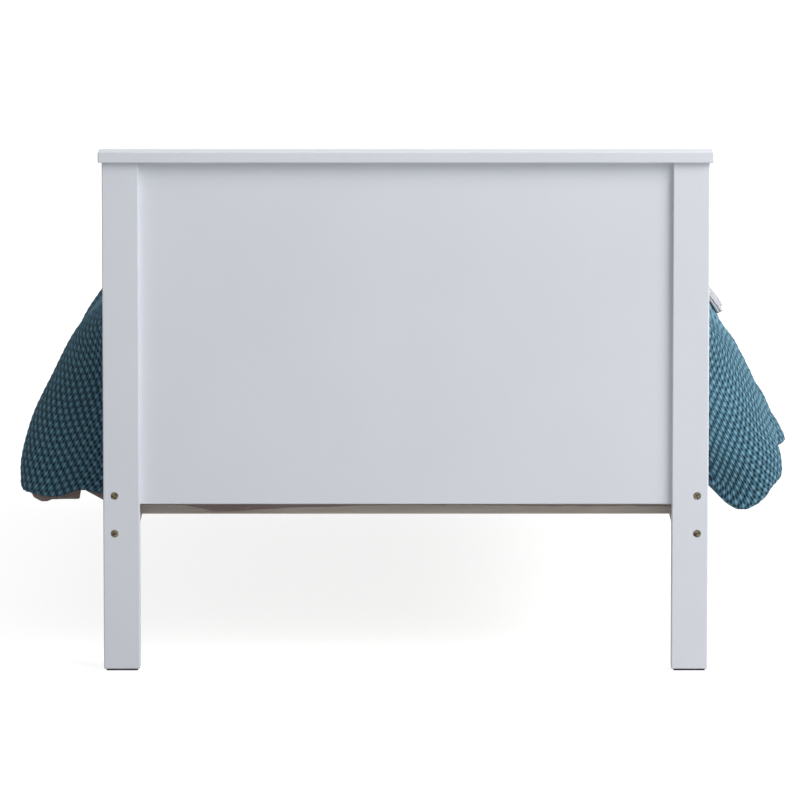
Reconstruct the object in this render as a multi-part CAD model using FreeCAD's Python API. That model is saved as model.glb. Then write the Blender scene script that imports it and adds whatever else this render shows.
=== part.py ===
import FreeCAD, Part
import math
import os

# Single bed with a panelled headboard, a low foot end, slats, mattress and bedding.
# Millimetres, +Z up. The origin is on the floor under the middle of the bed.
# The head end is towards -Y, and left and right are as seen from behind the headboard.

# Mattress, which sets the size of the frame
mattress_width = 920.0
mattress_length = 1880.0
mattress_height = 250.0
mattress_side_gap = 9.0
mattress_end_gap = 24.0
mattress_corner_radius = 60.0
mattress_edge_round = 14.0
mattress_draw_in = 6.0
mattress_crown = 6.0

# Posts and glides
post_width = 60.0
post_depth = 40.0
post_edge_round = 2.0
head_height = 864.0
foot_height = 470.0
glide_height = 3.0
glide_inset = 2.0

# Cap boards
cap_thickness = 18.0
cap_end_overhang = 6.0
cap_bed_overhang = 7.0
cap_outer_overhang = 13.0
cap_edge_round = 2.0

# Panels, held in grooves
panel_thickness = 15.0
panel_groove_depth = 8.0
panel_cap_groove_depth = 6.0
panel_groove_clearance = 0.2
panel_edge_round = 2.0
head_panel_bottom = 277.0
foot_panel_bottom = 205.0

# Side rails
rail_thickness = 25.0
rail_height = 120.0
rail_bottom = 201.0
rail_inset = 6.0
rail_edge_round = 3.0

# Bolts with cross nuts, two in each rail end
bolt_diameter = 6.0
bolt_spacing = 63.0
bolt_head_diameter = 12.0
bolt_head_thickness = 5.0
bolt_head_recess = 2.5
bolt_head_clearance = 0.5
bolt_hole_clearance = 0.5
bolt_socket_width = 5.0
bolt_socket_depth = 3.0
bolt_tail = 8.0
nut_diameter = 10.0
nut_length = 18.0
nut_setback = 45.0
nut_clearance = 0.2

# Wood dowels
dowel_diameter = 8.0
rail_dowel_length = 36.0
cap_dowel_length = 34.0
cap_dowel_in_cap = 9.0
cap_dowel_spread = 28.0
dowel_clearance = 0.1

# Slats and the cleats that carry them
slat_count = 14
slat_width = 70.0
slat_thickness = 17.0
slat_end_gap = 2.0
slat_first_margin = 20.0
slat_edge_round = 3.0
cleat_width = 25.0
cleat_height = 25.0
cleat_rise = 28.0
cleat_end_margin = 62.0

# Wood screws
screw_diameter = 4.0
screw_head_diameter = 8.0
screw_head_height = 3.0
screw_clearance = 0.1
slat_screw_length = 34.0
cleat_screw_length = 42.0
cleat_screw_count = 7

# Bedding that drapes over the mattress and hangs outside the rails, further out on the left.
# A reach runs outwards from the bed's side, and a loft upwards from the mattress top.
drape_crown = 115.0
drape_foot_fall = 18.0
drape_end_fall = 34.0
shoulder_inset = 24.0
flap_top_drop = 51.0
left_shoulder_loft = 107.0
left_turn_reach = 33.0
left_turn_loft = 61.0
left_flap_top_reach = 92.0
left_flap_middle_reach = 136.0
left_flap_hem_reach = 150.0
left_head_tuck = 140.0
left_flare = 0.0
left_foot_sink = 64.0
right_shoulder_loft = 101.0
right_turn_reach = 18.0
right_turn_loft = 47.0
right_flap_top_reach = 77.0
right_flap_middle_reach = 123.0
right_flap_hem_reach = 135.0
right_head_tuck = 128.0
right_flare = 24.0
right_foot_sink = 43.0
sink_length = 1330.0
flare_start = 200.0
flare_length = 300.0
foot_taper = 21.0
taper_start = 350.0
wing_distance = 125.0
fold_pitch = 190.0
fold_depth = 24.0
drape_step = 45.0
drape_end_length = 120.0
drape_floor_drop = 25.0

# Cloth thicknesses and hems
quilt_wall = 14.0
quilt_end_gap = 11.0
quilt_end_wall = 9.0
quilt_hem_height = 280.0
coverlet_thickness = 9.0
coverlet_hem_height = 290.0
coverlet_head_margin = 4.0
coverlet_foot_margin = 45.0
throw_thickness = 13.0
throw_width = 300.0
throw_foot_margin = 210.0
throw_turn = 5.0
throw_right_hem_height = 425.0
throw_left_hem_height = 505.0
cloth_gap = 0.5
rail_cloth_gap = 4.0

# Pillow
pillow_width = 700.0
pillow_length = 440.0
pillow_height = 128.0
pillow_draw_in = 16.0
pillow_head_margin = 35.0
pillow_sink = 40.0

# Worked-out places
rail_inner = mattress_width / 2 + mattress_side_gap
rail_outer = rail_inner + rail_thickness
rail_middle = (rail_inner + rail_outer) / 2
bed_side = rail_outer + rail_inset
post_inner = bed_side - post_width
clear_half = mattress_length / 2 + mattress_end_gap
post_outer_face = clear_half + post_depth
rail_middle_height = rail_bottom + rail_height / 2
cleat_bottom = rail_bottom + cleat_rise
slat_bottom = cleat_bottom + cleat_height
slat_top = slat_bottom + slat_thickness
mattress_top = slat_top + mattress_height
quilt_end = mattress_length / 2 + quilt_end_gap
drape_floor = quilt_hem_height - drape_floor_drop
far = 4.0 * (mattress_length + mattress_width)


def vector(x, y, z):
    return FreeCAD.Vector(x, y, z)


def block(x0, x1, y0, y1, z0, z1):
    return Part.makeBox(x1 - x0, y1 - y0, z1 - z0, vector(x0, y0, z0))


def rod(start, direction, diameter, length):
    return Part.makeCylinder(diameter / 2, length, start, direction)


def mirrored(shape, x=False, y=False):
    """The shape on the left side if x is set, and at the foot end if y is set."""
    if x:
        shape = shape.mirror(vector(0, 0, 0), vector(1, 0, 0))
    if y:
        shape = shape.mirror(vector(0, 0, 0), vector(0, 1, 0))
    return shape


def at_all_corners(shape):
    return [mirrored(shape, x, y) for x in (False, True) for y in (False, True)]


def rounded_edges(shape, radius, wanted):
    """The shape with the edges filleted whose middle point and direction pass the test."""
    edges = []
    for edge in shape.Edges:
        middle = edge.valueAt((edge.FirstParameter + edge.LastParameter) / 2)
        direction = edge.tangentAt(edge.FirstParameter)
        if wanted(middle, direction):
            edges.append(edge)
    return shape.makeFillet(radius, edges)


def export(name, shapes):
    """Writes one node: a single solid, or a group of equal solids."""
    shape = shapes[0] if len(shapes) == 1 else Part.makeCompound(shapes)
    shape.exportStep("parts/" + name + ".step")


# Bolt heights, from the middle of the rail
bolt_heights = [rail_middle_height + side * bolt_spacing / 2 for side in (-1, 1)]
bolt_seat = -post_outer_face + bolt_head_recess + bolt_head_thickness
bolt_end = -clear_half + nut_setback + bolt_tail


def post(height):
    """A right-hand head post up to the underside of its cap."""
    top = height - cap_thickness
    body = block(post_inner, bed_side, -post_outer_face, -clear_half, glide_height, top)
    body = rounded_edges(
        body, post_edge_round, lambda middle, direction: middle.z < top - post_edge_round
    )
    groove = panel_thickness + 2 * panel_groove_clearance
    groove_middle = -clear_half - post_depth / 2
    body = body.cut(
        block(
            post_inner - panel_groove_depth,
            post_inner + panel_groove_depth + panel_groove_clearance,
            groove_middle - groove / 2,
            groove_middle + groove / 2,
            panel_bottom(height) - panel_groove_clearance,
            height,
        )
    )
    for z in bolt_heights:
        start = vector(rail_middle, -post_outer_face, z)
        along = vector(0, 1, 0)
        counterbore = bolt_head_diameter + 2 * bolt_head_clearance
        body = body.cut(rod(start, along, counterbore, bolt_seat + post_outer_face))
        body = body.cut(rod(start, along, bolt_diameter + 2 * bolt_hole_clearance, post_depth))
    body = body.cut(rail_dowel(dowel_clearance))
    for dowel in cap_dowel_pair(height, dowel_clearance):
        body = body.cut(dowel)
    return body


def panel_bottom(height):
    return head_panel_bottom if height == head_height else foot_panel_bottom


def rail_dowel(clearance=0.0):
    """The dowel of the right-hand head joint, half in the post and half in the rail."""
    half = rail_dowel_length / 2 + clearance
    start = vector(rail_middle, -clear_half - half, rail_middle_height)
    return rod(start, vector(0, 1, 0), dowel_diameter + 2 * clearance, 2 * half)


def cap_dowel_pair(height, clearance=0.0):
    """Two dowels from the right-hand head post up into the cap."""
    middle = (post_inner + bed_side) / 2
    length = cap_dowel_length + 2 * clearance
    bottom = height - cap_thickness + cap_dowel_in_cap - cap_dowel_length - clearance
    dowels = []
    for side in (-1, 1):
        start = vector(middle + side * cap_dowel_spread / 2, -clear_half - post_depth / 2, bottom)
        dowels.append(rod(start, vector(0, 0, 1), dowel_diameter + 2 * clearance, length))
    return dowels


def panel(height):
    """A flat panel in the grooves of its posts and cap, at the head end."""
    half = post_inner + panel_groove_depth
    middle = -clear_half - post_depth / 2
    bottom = panel_bottom(height)
    board = block(
        -half,
        half,
        middle - panel_thickness / 2,
        middle + panel_thickness / 2,
        bottom,
        height - cap_thickness + panel_cap_groove_depth,
    )
    return rounded_edges(
        board,
        panel_edge_round,
        lambda place, direction: abs(direction.x) > 0.9 and place.z < bottom + 1,
    )


def cap(height):
    """A cap board with eased edges, over the head posts and panel."""
    half = bed_side + cap_end_overhang
    bottom = height - cap_thickness
    board = block(
        -half,
        half,
        -post_outer_face - cap_outer_overhang,
        -clear_half + cap_bed_overhang,
        bottom,
        height,
    )
    board = rounded_edges(board, cap_edge_round, lambda place, direction: True)
    groove = panel_thickness + 2 * panel_groove_clearance
    middle = -clear_half - post_depth / 2
    groove_half = post_inner + panel_groove_depth + panel_groove_clearance
    board = board.cut(
        block(
            -groove_half,
            groove_half,
            middle - groove / 2,
            middle + groove / 2,
            bottom - 1,
            bottom + panel_cap_groove_depth + panel_groove_clearance,
        )
    )
    for dowel in cap_dowel_pair(height, dowel_clearance):
        board = board.cut(dowel).cut(mirrored(dowel, x=True))
    return board


def glide():
    """A flat pad under the right-hand head post."""
    return block(
        post_inner + post_edge_round + glide_inset,
        bed_side - post_edge_round - glide_inset,
        -post_outer_face + post_edge_round + glide_inset,
        -clear_half - post_edge_round - glide_inset,
        0,
        glide_height,
    )


def bolt(z):
    """A hex socket bolt from the right-hand head post into the rail."""
    along = vector(0, 1, 0)
    head_start = vector(rail_middle, bolt_seat - bolt_head_thickness, z)
    body = rod(head_start, along, bolt_head_diameter, bolt_head_thickness)
    body = body.fuse(rod(vector(rail_middle, bolt_seat, z), along, bolt_diameter, bolt_end - bolt_seat))
    corner = bolt_socket_width / math.sqrt(3)
    corners = []
    for step in range(7):
        angle = math.radians(60 * step)
        x = rail_middle + corner * math.cos(angle)
        corners.append(vector(x, head_start.y, z + corner * math.sin(angle)))
    socket = Part.Face(Part.makePolygon(corners)).extrude(vector(0, bolt_socket_depth, 0))
    return body.cut(socket).removeSplitter()


def cross_nut(z):
    """A round nut across the right-hand rail, with a hole for the bolt."""
    start = vector(rail_middle - nut_length / 2, -clear_half + nut_setback, z)
    body = rod(start, vector(1, 0, 0), nut_diameter, nut_length)
    hole_start = vector(rail_middle, start.y - nut_diameter, z)
    hole = rod(hole_start, vector(0, 1, 0), bolt_diameter + 2 * nut_clearance, 2 * nut_diameter)
    return body.cut(hole)


def side_rail():
    """The right-hand rail with its bolt, nut, dowel and screw holes."""
    body = block(rail_inner, rail_outer, -clear_half, clear_half, rail_bottom, rail_bottom + rail_height)
    body = rounded_edges(body, rail_edge_round, lambda middle, direction: abs(direction.y) > 0.9)
    hole_length = nut_setback + 2 * bolt_tail
    for z in bolt_heights:
        bolt_hole = rod(
            vector(rail_middle, -clear_half, z),
            vector(0, 1, 0),
            bolt_diameter + 2 * bolt_hole_clearance,
            hole_length,
        )
        nut_hole = rod(
            vector(rail_inner, -clear_half + nut_setback, z),
            vector(1, 0, 0),
            nut_diameter + 2 * nut_clearance,
            (rail_thickness + nut_length) / 2 + nut_clearance,
        )
        for hole in (bolt_hole, nut_hole):
            body = body.cut(hole).cut(mirrored(hole, y=True))
    dowel = rail_dowel(dowel_clearance)
    body = body.cut(dowel).cut(mirrored(dowel, y=True))
    for y in cleat_screw_places():
        body = body.cut(cleat_screw(y, screw_clearance))
    return body


def slat_middles():
    """Y of each slat, spread evenly between the first and the last."""
    first = -clear_half + slat_first_margin + slat_width / 2
    pitch = -2 * first / (slat_count - 1)
    return [first + pitch * number for number in range(slat_count)]


def cleat_screw_places():
    """Y of each cleat screw, in the gap between two slats that is nearest to an even share."""
    middles = slat_middles()
    gaps = [(a + b) / 2 for a, b in zip(middles, middles[1:])]
    last = len(gaps) - 1
    picks = {round(number * last / (cleat_screw_count - 1)) for number in range(cleat_screw_count)}
    return [gaps[pick] for pick in sorted(picks)]


def screw(start, direction, length, clearance):
    """A countersunk screw: a cone head flush at its start, then a plain shank."""
    radius = screw_diameter / 2 + clearance
    head = Part.makeCone(
        screw_head_diameter / 2 + clearance, radius, screw_head_height, start, direction
    )
    shank_start = start + direction * screw_head_height
    shank = rod(shank_start, direction, 2 * radius, length - screw_head_height + clearance)
    return head.fuse(shank).removeSplitter()


def cleat_screw(y, clearance=0.0):
    """A screw from the right-hand cleat's inner face into the rail."""
    start = vector(rail_inner - cleat_width, y, cleat_bottom + cleat_height / 2)
    return screw(start, vector(1, 0, 0), cleat_screw_length, clearance)


def slat_screw(y, clearance=0.0):
    """A screw from a slat's top down into the right-hand cleat."""
    start = vector(rail_inner - cleat_width / 2, y, slat_top)
    return screw(start, vector(0, 0, -1), slat_screw_length, clearance)


def slat_cleat():
    """The right-hand strip that carries the slat ends."""
    end = clear_half - cleat_end_margin
    body = block(
        rail_inner - cleat_width, rail_inner, -end, end, cleat_bottom, cleat_bottom + cleat_height
    )
    for y in cleat_screw_places():
        body = body.cut(cleat_screw(y, screw_clearance))
    for y in slat_middles():
        body = body.cut(slat_screw(y, screw_clearance))
    return body


def slat(y):
    half = rail_inner - slat_end_gap
    body = block(-half, half, y - slat_width / 2, y + slat_width / 2, slat_bottom, slat_top)
    body = rounded_edges(body, slat_edge_round, lambda middle, direction: abs(direction.x) > 0.9)
    hole = slat_screw(y, screw_clearance)
    return body.cut(hole).cut(mirrored(hole, x=True))


def rounded_rectangle(half_x, half_y, radius, z):
    """A flat outline of four lines and four quarter arcs."""
    inner_x = half_x - radius
    inner_y = half_y - radius
    reach = radius * math.sqrt(0.5)
    edges = []
    for turn in range(4):
        sx, sy = ((1, 1), (-1, 1), (-1, -1), (1, -1))[turn]
        middle = vector(sx * (inner_x + reach), sy * (inner_y + reach), z)
        on_side = vector(sx * half_x, sy * inner_y, z)
        on_end = vector(sx * inner_x, sy * half_y, z)
        start, end = (on_side, on_end) if turn % 2 == 0 else (on_end, on_side)
        edges.append(Part.Arc(start, middle, end).toShape())
        if turn % 2 == 0:
            following = vector(-on_end.x, on_end.y, z)
        else:
            following = vector(on_side.x, -on_side.y, z)
        edges.append(Part.LineSegment(end, following).toShape())
    return Part.Wire(edges)


def mattress():
    """A mattress with rounded edges, drawn-in sides and a low crown."""
    half_x = mattress_width / 2
    half_y = mattress_length / 2
    low = slat_top
    high = mattress_top - mattress_crown
    levels = [
        (low, mattress_edge_round),
        (low + mattress_edge_round, 0.0),
        ((low + high) / 2, mattress_draw_in),
        (high - mattress_edge_round, 0.0),
        (high, mattress_edge_round),
        (mattress_top, half_x / 2),
    ]
    sections = []
    for z, inset in levels:
        sections.append(
            rounded_rectangle(half_x - inset, half_y - inset, mattress_corner_radius, z)
        )
    return Part.makeLoft(sections, True, True)


def drape_stations():
    """Places along the bed, from head to foot, at which the bedding has a section.

    Each has its y, and at that place the shares of the sink and of the tuck at the head, the
    fold, the fall of the crown, how far the flaps draw in and the share of the flare."""
    length = 2 * quilt_end
    steps = round(length / drape_step)
    folds = round((length - wing_distance) / fold_pitch)
    stations = []
    for step in range(steps + 1):
        along = length * step / steps
        tuck_share = max(1 - along / wing_distance, 0) ** 2
        foot_share = max(1 - (length - along) / drape_end_length, 0) ** 2
        turn = 2 * math.pi * folds * max(along - wing_distance, 0) / (length - wing_distance)
        fold = -fold_depth * (1 - math.cos(turn)) / 2
        fall = drape_end_fall * (tuck_share**2 + foot_share) + drape_foot_fall * along / length
        taper = foot_taper * max(along - taper_start, 0) / (length - taper_start)
        flare_share = min(max(along - flare_start, 0) / flare_length, 1)
        sink_share = min(along / sink_length, 1)
        stations.append(
            (along - quilt_end, sink_share, tuck_share, fold, fall, taper, flare_share)
        )
    return stations


def flap_points(side, station, offset):
    """Points down one half of a section, from shoulder to hem, as reach from the middle and height.

    The offset moves the cloth outwards, square to it. Each place has its reach, its height,
    its lean, and its shares of the tuck, of the fold and of the flare."""
    shoulder_loft, turn_reach, turn_loft, top_reach, middle_reach, hem_reach = side[:6]
    tuck, flare, foot_sink = side[6:]
    y, sink_share, tuck_share, fold, fall, taper, flare_share = station
    sink = foot_sink * sink_share
    shoulder = mattress_top + shoulder_loft - fall - 0.3 * sink
    turn = mattress_top + turn_loft - fall / 2 - sink
    flap_top = mattress_top - flap_top_drop - 0.5 * sink
    flap_middle = (mattress_top - flap_top_drop + drape_floor) / 2 - 0.15 * sink
    places = [
        (mattress_width / 2 - shoulder_inset, shoulder, 12, 0.1, 0.0, 0.0),
        (bed_side + turn_reach, turn, 40, 0.35, 0.0, 0.0),
        (bed_side + top_reach, flap_top, 60, 0.8, 0.3, 0.0),
        (bed_side + middle_reach, flap_middle, 70, 0.95, 0.7, 0.3),
        (bed_side + hem_reach, drape_floor, 90, 1.0, 1.0, 1.0),
    ]
    points = []
    for reach, z, lean, of_tuck, of_fold, of_flare in places:
        angle = math.radians(lean)
        x = reach - taper - of_tuck * tuck * tuck_share
        x += of_fold * fold + of_flare * flare * flare_share
        points.append((x + offset * math.sin(angle), z + offset * math.cos(angle)))
    return points


def drape_section(station, offset):
    """One outline across the bed: crown, shoulders and flaps as arcs, closed by a line below."""
    y = station[0]
    fall = station[4]
    left_side = (
        left_shoulder_loft,
        left_turn_reach,
        left_turn_loft,
        left_flap_top_reach,
        left_flap_middle_reach,
        left_flap_hem_reach,
        left_head_tuck,
        left_flare,
        left_foot_sink,
    )
    right_side = (
        right_shoulder_loft,
        right_turn_reach,
        right_turn_loft,
        right_flap_top_reach,
        right_flap_middle_reach,
        right_flap_hem_reach,
        right_head_tuck,
        right_flare,
        right_foot_sink,
    )
    left = [vector(-x, y, z) for x, z in flap_points(left_side, station, offset)]
    right = [vector(x, y, z) for x, z in flap_points(right_side, station, offset)]
    crown = vector(0, y, mattress_top + drape_crown - fall + offset)
    edges = [
        Part.Arc(left[4], left[3], left[2]).toShape(),
        Part.Arc(left[2], left[1], left[0]).toShape(),
        Part.Arc(left[0], crown, right[0]).toShape(),
        Part.Arc(right[0], right[1], right[2]).toShape(),
        Part.Arc(right[2], right[3], right[4]).toShape(),
        Part.LineSegment(right[4], left[4]).toShape(),
    ]
    return Part.Wire(edges)


def drape(offset):
    """The space under the coverlet's outer face, moved outwards by the offset."""
    sections = [drape_section(station, offset) for station in drape_stations()]
    return Part.makeLoft(sections, True, False)


# Faces of the cloth layers, as offsets from the coverlet's outer face
coverlet_inner = -coverlet_thickness
quilt_outer = coverlet_inner - cloth_gap
quilt_inner = quilt_outer - quilt_wall
throw_inner = cloth_gap
throw_outer = throw_inner + throw_thickness


def quilt():
    """A quilt that fills the space over the mattress and hangs down round it."""
    end = quilt_end - quilt_end_wall
    hollow = drape(quilt_inner).common(
        block(-far, far, -end, end, 0, mattress_top + cloth_gap)
    )
    body = drape(quilt_outer).cut(hollow)
    body = body.common(block(-far, far, -far, far, quilt_hem_height, far))
    inner = mattress_width / 2
    outer = bed_side + rail_cloth_gap
    rail_top = rail_bottom + rail_height + rail_cloth_gap
    for x0, x1 in ((-outer, -inner), (inner, outer)):
        body = body.cut(block(x0, x1, -far, far, 0, rail_top))
    return body


def coverlet():
    """A knitted coverlet over the quilt, open at head and foot."""
    head = -quilt_end + coverlet_head_margin
    foot = quilt_end - coverlet_foot_margin
    body = drape(0.0).cut(drape(coverlet_inner))
    return body.common(block(-far, far, head, foot, coverlet_hem_height, far))


def foot_throw():
    """A folded throw across the foot of the bed, laid at a slight turn and further to the right."""
    foot = quilt_end - throw_foot_margin
    strip = block(-far, far, foot - throw_width, foot, throw_right_hem_height, far)
    strip = strip.rotate(vector(0, foot - throw_width / 2, 0), vector(0, 0, 1), -throw_turn)
    past_left_hem = block(-far, 0, -far, far, 0, throw_left_hem_height)
    return drape(throw_outer).cut(drape(throw_inner)).common(strip).cut(past_left_hem)


def pillow_outline(scale, z):
    """Four corners joined by arcs that draw in between them."""
    half_x = scale * pillow_width / 2
    half_y = scale * pillow_length / 2
    middle_y = pillow_middle()
    corners = [
        vector(sx * half_x, middle_y + sy * half_y, z)
        for sx, sy in ((1, 1), (-1, 1), (-1, -1), (1, -1))
    ]
    edges = []
    for number in range(4):
        start = corners[number]
        end = corners[(number + 1) % 4]
        middle = (start + end) * 0.5
        inward = vector(0, middle_y, z) - middle
        inward.normalize()
        edges.append(Part.Arc(start, middle + inward * pillow_draw_in, end).toShape())
    return Part.Wire(edges)


def pillow_middle():
    return -mattress_length / 2 + pillow_head_margin + pillow_length / 2


def pillow():
    """A pillow with a crown and drawn-in sides that lies on the coverlet."""
    bottom = mattress_top + drape_crown - pillow_sink
    top = mattress_top + drape_crown + pillow_height
    rise = top - bottom
    levels = ((0.84, 0.0), (0.98, 0.25), (1.0, 0.5), (0.88, 0.75), (0.56, 1.0))
    sections = [pillow_outline(scale, bottom + share * rise) for scale, share in levels]
    return Part.makeLoft(sections, True, False).cut(drape(throw_inner))


os.makedirs("parts", exist_ok=True)

for end, height, at_foot in (("head", head_height, False), ("foot", foot_height, True)):
    right_post = mirrored(post(height), y=at_foot)
    export(end + "_post_right", [right_post])
    export(end + "_post_left", [mirrored(right_post, x=True)])
    export(end + "_panel", [mirrored(panel(height), y=at_foot)])
    export(end + "_cap", [mirrored(cap(height), y=at_foot)])

export("side_rail_right", [side_rail()])
export("side_rail_left", [mirrored(side_rail(), x=True)])
export("slat_cleat_right", [slat_cleat()])
export("slat_cleat_left", [mirrored(slat_cleat(), x=True)])
for number, y in enumerate(slat_middles(), 1):
    export("slat_%02d" % number, [slat(y)])

bolts = [piece for z in bolt_heights for piece in at_all_corners(bolt(z))]
export("rail_bolts", bolts)
nuts = [piece for z in bolt_heights for piece in at_all_corners(cross_nut(z))]
export("barrel_nuts", nuts)
export("rail_dowels", at_all_corners(rail_dowel()))
cap_dowels = []
for height, at_foot in ((head_height, False), (foot_height, True)):
    for dowel in cap_dowel_pair(height):
        cap_dowels += [mirrored(dowel, x, at_foot) for x in (False, True)]
export("cap_dowels", cap_dowels)
slat_screws = [mirrored(slat_screw(y), x=x) for y in slat_middles() for x in (False, True)]
export("slat_screws", slat_screws)
cleat_screws = [mirrored(cleat_screw(y), x=x) for y in cleat_screw_places() for x in (False, True)]
export("cleat_screws", cleat_screws)
export("foot_glides", at_all_corners(glide()))

export("mattress", [mattress()])
export("quilt", [quilt()])
export("coverlet", [coverlet()])
export("foot_throw", [foot_throw()])
export("pillow", [pillow()])
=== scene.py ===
import math

import bpy
import numpy as np
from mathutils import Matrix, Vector


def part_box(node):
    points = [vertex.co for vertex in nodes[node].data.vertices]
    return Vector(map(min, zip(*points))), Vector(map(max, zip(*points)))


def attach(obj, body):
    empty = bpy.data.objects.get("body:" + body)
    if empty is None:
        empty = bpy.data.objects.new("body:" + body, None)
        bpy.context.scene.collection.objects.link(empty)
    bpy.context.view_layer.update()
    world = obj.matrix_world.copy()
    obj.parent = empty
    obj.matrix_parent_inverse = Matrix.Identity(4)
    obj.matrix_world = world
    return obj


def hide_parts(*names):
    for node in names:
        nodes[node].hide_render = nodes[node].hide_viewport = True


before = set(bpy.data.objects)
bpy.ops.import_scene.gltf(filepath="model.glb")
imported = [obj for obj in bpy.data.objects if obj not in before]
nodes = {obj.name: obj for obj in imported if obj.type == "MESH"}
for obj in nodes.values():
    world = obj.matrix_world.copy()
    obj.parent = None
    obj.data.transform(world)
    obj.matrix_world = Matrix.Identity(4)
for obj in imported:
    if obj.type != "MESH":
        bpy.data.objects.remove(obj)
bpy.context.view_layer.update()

# A single bed seen from behind its headboard: finishes for the frame, and the bedding as soft pieces.
# Metres, +Z up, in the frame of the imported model. The head end is towards -Y.
# Left and right are as seen from behind the headboard, so right is +X.

# Places read from the frame
mattress_low, mattress_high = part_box("mattress")
quilt_low, quilt_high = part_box("quilt")
pillow_low, pillow_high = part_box("pillow")
head_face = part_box("head_post_right")[0].y
head_end = quilt_low.y
foot_end = quilt_high.y
bed_length = foot_end - head_end
mattress_top = mattress_high.z

# Camera, behind the headboard and above it
camera_distance = 12.0
camera_height = 1.966
camera_aside = -0.0095
camera_pitch = 7.189
camera_lens = 329.92
camera_sensor = 36.0
camera_far = 200.0

# Light: the height that the lamps look at, the fill from all round, and the floor's glow to the camera
lamp_target = 0.55
horizon_fill = 0.14
overhead_fill = 0.46
floor_half = 40.0
floor_tone = 0.50
glow_near = 1.6
glow_far = 4.5
glow_least = 0.84

# Drape of the bedding. Each place across a half has its reach from the middle and its height.
crown_loft = 0.115
crown_height = mattress_top + crown_loft
crown_reaches = [0.0, 0.15, 0.30]
crown_drops = [0.0, 0.002, 0.007]
flap_left = [
    (0.440, 0.629),
    (0.530, 0.580),
    (0.592, 0.470),
    (0.627, 0.392),
    (0.644, 0.302),
    (0.641, 0.282),
    (0.628, 0.279),
]
flap_right = [
    (0.432, 0.622),
    (0.518, 0.568),
    (0.577, 0.470),
    (0.608, 0.394),
    (0.632, 0.326),
    (0.629, 0.288),
    (0.611, 0.277),
]

# Shares of each change that reach the flap's places, from the shoulder down to the hem
pull_shares = [0.1, 0.35, 0.8, 0.94, 1.01, 0.96, 0.87]
fold_shares = [0.0, 0.0, 0.3, 0.6, 0.9, 1.0, 1.0]
flare_shares = [0.0, 0.0, 0.0, 0.05, 0.6, 1.0, 1.0]
fall_shares = [1.0, 0.5, 0.0, 0.0, 0.0, 0.0, 0.0]
sink_shares = [0.3, 1.0, 0.5, 0.15, 0.0, 0.0, 0.0]
hem_shares = [0.0, 0.0, 0.0, 0.0, 0.4, 1.0, 1.0]

# Wings drawn in at the head end, the fall at both ends, and the taper and sink towards the foot
wing_distance = 0.125
wing_lean = 0.055
lean_top = 0.430
lean_bottom = 0.280
end_length = 0.120
end_fall = 0.034
foot_fall = 0.018
foot_taper = 0.021
taper_start = 0.350
sink_length = 1.330

# Folds along the flaps, and how their places and depths wander
fold_pitch = 0.190
fold_depth = 0.024
fold_wander = 0.35
fold_wander_pitch = 0.71
fold_wander_start = 0.1
fold_change = 0.2
fold_change_pitch = 0.53

# Lumps on the top and a swell in the flaps, and the reaches between which one gives way to the other
lump_height = 0.005
lump_seed = 3.1
swell_depth = 0.004
swell_seed = 5.3
top_reach = 0.40
flap_reach = 0.56

# How far each flap swings out, at distances from the head end
flare_left = [(0.0, 0.0)]
flare_right = [(0.150, 0.0), (0.320, -0.007), (0.500, 0.030)]

# Hem height against its usual height, at distances from the head end
hem_left = [
    (0.0, -0.003),
    (0.019, 0.006),
    (0.027, 0.001),
    (0.045, -0.008),
    (0.07, -0.005),
    (0.125, 0.0),
    (0.3, 0.004),
]
hem_right = [
    (0.0, 0.019),
    (0.005, 0.015),
    (0.013, -0.002),
    (0.022, -0.016),
    (0.040, -0.030),
    (0.063, -0.019),
    (0.082, 0.003),
    (0.110, 0.011),
    (0.300, 0.010),
    (0.507, 0.022),
    (0.800, 0.004),
]

# Shifts over which the hem's heights are averaged, and its waves further along the bed
hem_shifts = (-0.006, -0.003, 0, 0.003, 0.006)
hem_wave = 0.006
hem_wave_pitch = 0.41
hem_wave_start = 0.5
hem_wave_full = 0.9

sides = {
    "left": {
        "sign": -1,
        "flap": flap_left,
        "tuck": 0.143,
        "sink": 0.064,
        "flare": flare_left,
        "phase": 0.4,
        "hem": hem_left,
    },
    "right": {
        "sign": 1,
        "flap": flap_right,
        "tuck": 0.127,
        "sink": 0.043,
        "flare": flare_right,
        "phase": 2.1,
        "hem": hem_right,
    },
}

# Grids of the drape: steps along it, columns in a half, and where its top's margin turns into its wings'
drape_steps = 700
plain_half_columns = 90
wing_share_from = 0.45
wing_share_to = 0.72

# A cloth's map: the share that its outer face takes up, and how much of the rest its inner face fills
outer_share = 0.94
strip_fill = 0.9

# Gap between layers of bedding, and grid steps for one stitch or rib
layer_gap = 0.0007
relief_samples = 4

# Coverlet and its stitches
coverlet_thickness = 0.009
coverlet_top_margin = 0.066
coverlet_wing_margin = 0.0
coverlet_foot_margin = 0.045
stitch_rows = 141
stitch_columns = 70
stitch_relief = 0.0012
bead_share = 0.7
pit_share = 1.3
plain_edge = 0.006

# Quilt
quilt_wall = 0.014
quilt_rows = 177
quilt_half_columns = 70
quilt_trim = 2
quilt_top_margin = 0.018
quilt_wing_margin = 0.030
quilt_foot_margin = 0.016
quilt_crease = 0.0016
quilt_rest = 0.001

# The quilt's ends, turned down over the mattress
flap_thickness = 0.006
flap_half_width = 0.468
flap_columns = 145
flap_rows = 41
flap_over_share = 0.12
flap_edge_row = 12
flap_inset = 0.0085
flap_spread = 0.008
flap_turn_in = 0.034
flap_wave = 0.0025
flap_sag = 0.012
foot_hem_height = 0.285
foot_hem_wave = 0.003
head_hem_wave = 0.0015

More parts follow.
